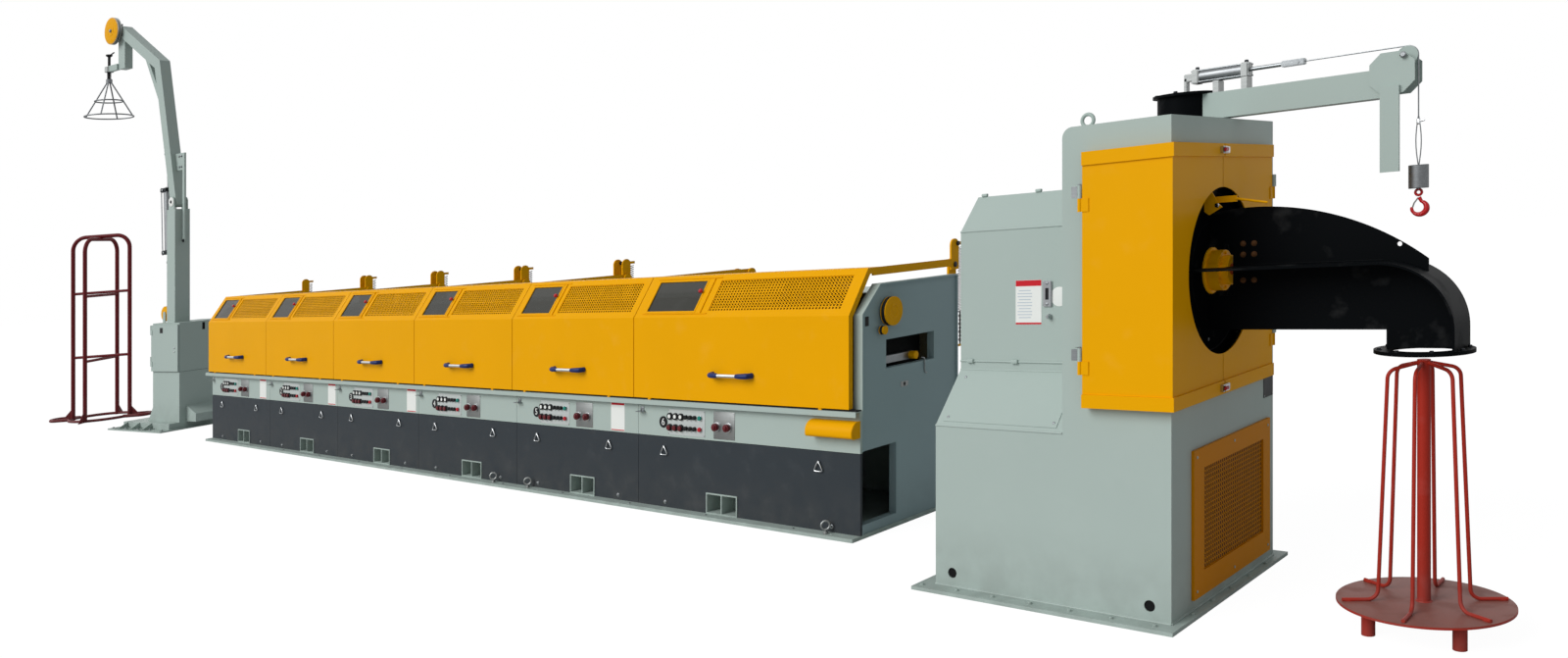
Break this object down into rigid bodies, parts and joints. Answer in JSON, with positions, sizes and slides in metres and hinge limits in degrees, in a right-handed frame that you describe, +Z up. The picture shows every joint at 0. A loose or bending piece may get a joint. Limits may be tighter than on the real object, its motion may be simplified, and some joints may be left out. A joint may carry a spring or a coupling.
{
  "type": "wire drawing machine",
  "caption": "Straight wire drawing line: payoff stand with tilting arm, hooded drawing blocks in a row, coil take-up with jib hoist, and coil stands.",
  "frame": {"origin": "middle of the block line's base plate, on the floor", "axes": "+X along the wire from payoff to take-up, -Y to the operator's side with the hoods, +Z up"},
  "size_m": [15.7001, 1.607, 4.83],
  "materials": {
    "hood_yellow": "satin yellow paint",
    "line_grey": "satin grey-green paint",
    "charcoal": "satin charcoal paint",
    "frame_blue_grey": "satin blue-grey paint",
    "black_steel": "matt black paint",
    "red_paint": "satin red paint",
    "maroon_paint": "satin maroon paint",
    "orange_paint": "satin orange paint",
    "bright_steel": "brushed",
    "cast": "as cast, machined rims",
    "cylinder_silver": "anodised silver",
    "pane_dark": "dark clear sheet",
    "rope": "stranded wire"
  },
  "bodies": {
    "line": {"base_plate": "line_grey", "lower_panels": "charcoal", "control_strips": "line_grey", "ledge_rail": "line_grey", "deck_plates": "line_grey", "rear_wall": "line_grey", "top_cover": "line_grey", "cross_frames": "line_grey", "left_end_frame": "frame_blue_grey", "right_end_frame": "frame_blue_grey", "fork_pockets": "line_grey", "hinge_brackets": "frame_blue_grey", "balance_springs": "black_steel", "drawing_drums": "cast", "outlet_box": "hood_yellow", "die_bar": "bright_steel", "takeup_housing": "line_grey", "vent_grille": "hood_yellow", "winding_block": "black_steel", "winding_hub": "hood_yellow", "trunk": "black_steel", "coil_stand": "red_paint", "payoff_base": "line_grey", "payoff_cabinet": "line_grey", "payoff_post": "line_grey", "coil_rack": "maroon_paint"},
    "outlet_wheel": {"outlet_wheel": "hood_yellow"},
    "outlet_roller": {"outlet_roller": "hood_yellow"},
    "takeup_front_door": {"takeup_front_door": "hood_yellow"},
    "takeup_rear_door": {"takeup_rear_door": "hood_yellow"},
    "jib": {"jib_drum": "black_steel", "jib_beam": "line_grey", "hoist_cylinder": "cylinder_silver", "hoist_rope": "rope", "hook_weight": "bright_steel", "lifting_hook": "red_paint"},
    "payoff_cabinet_door": {"payoff_cabinet_door": "line_grey"},
    "cabinet_sheave": {"cabinet_sheave": "hood_yellow"},
    "payoff_arm": {"payoff_arm": "line_grey", "guide_cone": "bright_steel", "cone_spring": "black_steel"},
    "arm_sheave": {"arm_sheave": "hood_yellow"},
    "tilt_cylinder": {"tilt_cylinder": "cylinder_silver"},
    "tilt_rod": {"tilt_rod": "bright_steel"},
    "hood_1": {"hood_1": "hood_yellow", "hood_fittings_1": "pane_dark"},
    "hood_2": {"hood_2": "hood_yellow", "hood_fittings_2": "pane_dark"},
    "hood_3": {"hood_3": "hood_yellow", "hood_fittings_3": "pane_dark"},
    "hood_4": {"hood_4": "hood_yellow", "hood_fittings_4": "pane_dark"},
    "hood_5": {"hood_5": "hood_yellow", "hood_fittings_5": "pane_dark"},
    "hood_6": {"hood_6": "hood_yellow", "hood_fittings_6": "pane_dark"}
  },
  "joints": [
    {"name": "hood_1_open", "type": "hinge", "parent": "line", "child": "hood_1", "pos_m": [-3.5525, 0.49, 1.415], "axis": [-1, 0, 0], "range_deg": [0, 60], "deforming": ["balance_springs"]},
    {"name": "hood_2_open", "type": "hinge", "parent": "line", "child": "hood_2", "pos_m": [-2.2275, 0.49, 1.415], "axis": [-1, 0, 0], "range_deg": [0, 60], "deforming": ["balance_springs"]},
    {"name": "hood_3_open", "type": "hinge", "parent": "line", "child": "hood_3", "pos_m": [-0.9025, 0.49, 1.415], "axis": [-1, 0, 0], "range_deg": [0, 60], "deforming": ["balance_springs"]},
    {"name": "hood_4_open", "type": "hinge", "parent": "line", "child": "hood_4", "pos_m": [0.4225, 0.49, 1.415], "axis": [-1, 0, 0], "range_deg": [0, 60], "deforming": ["balance_springs"]},
    {"name": "hood_5_open", "type": "hinge", "parent": "line", "child": "hood_5", "pos_m": [1.7475, 0.49, 1.415], "axis": [-1, 0, 0], "range_deg": [0, 60], "deforming": ["balance_springs"]},
    {"name": "hood_6_open", "type": "hinge", "parent": "line", "child": "hood_6", "pos_m": [3.3125, 0.49, 1.415], "axis": [-1, 0, 0], "range_deg": [0, 60], "deforming": ["balance_springs"]},
    {"name": "outlet_wheel_spin", "type": "hinge", "parent": "line", "child": "outlet_wheel", "pos_m": [4.232, -0.227, 1.203], "axis": [1, 0, 0], "continuous": true},
    {"name": "outlet_roller_spin", "type": "hinge", "parent": "line", "child": "outlet_roller", "pos_m": [4.23, -0.298, 1.105], "axis": [1, 0, 0], "continuous": true},
    {"name": "front_door_swing", "type": "hinge", "parent": "line", "child": "takeup_front_door", "pos_m": [5.774, -1, 1.387], "axis": [0, 0, -1], "range_deg": [0, 100]},
    {"name": "rear_door_swing", "type": "hinge", "parent": "line", "child": "takeup_rear_door", "pos_m": [6.17, 0.081, 1.387], "axis": [0, 0, 1], "range_deg": [0, 100]},
    {"name": "jib_slew", "type": "hinge", "parent": "line", "child": "jib", "pos_m": [5.895, -0.25, 2.075], "axis": [0, 0, 1], "range_deg": [-80, 80]},
    {"name": "cabinet_door_swing", "type": "hinge", "parent": "line", "child": "payoff_cabinet_door", "pos_m": [-6.08146, -0.41398, 0.905], "axis": [0, 0, -1], "range_deg": [0, 110]},
    {"name": "cabinet_sheave_spin", "type": "hinge", "parent": "line", "child": "cabinet_sheave", "pos_m": [-6.06257, -0.25379, 1.283], "axis": [-0.1392, 0.9903, 0], "continuous": true},
    {"name": "arm_tilt", "type": "hinge", "parent": "line", "child": "payoff_arm", "pos_m": [-5.815, -0.219, 2.545], "axis": [0.1392, -0.9903, 0], "range_deg": [0, 12]},
    {"name": "arm_sheave_spin", "type": "hinge", "parent": "payoff_arm", "child": "arm_sheave", "pos_m": [-7.06451, -0.48953, 4.672], "axis": [-0.1392, 0.9903, 0], "continuous": true},
    {"name": "tilt_cylinder_swing", "type": "hinge", "parent": "line", "child": "tilt_cylinder", "pos_m": [-5.99127, -0.24377, 1.87], "axis": [0.1392, -0.9903, 0], "range_deg": [0, 5.57]},
    {"name": "tilt_rod_slide", "type": "slide", "parent": "tilt_cylinder", "child": "tilt_rod", "axis": [-0.0375, -0.0053, 0.9993], "range_m": [-0.04979, 0]}
  ],
  "couplings": [
    {"joint": "tilt_cylinder_swing", "follows": "arm_tilt", "ratio": 0.46035},
    {"joint": "tilt_rod_slide", "follows": "arm_tilt", "m_per_rad": -0.23533}
  ]
}
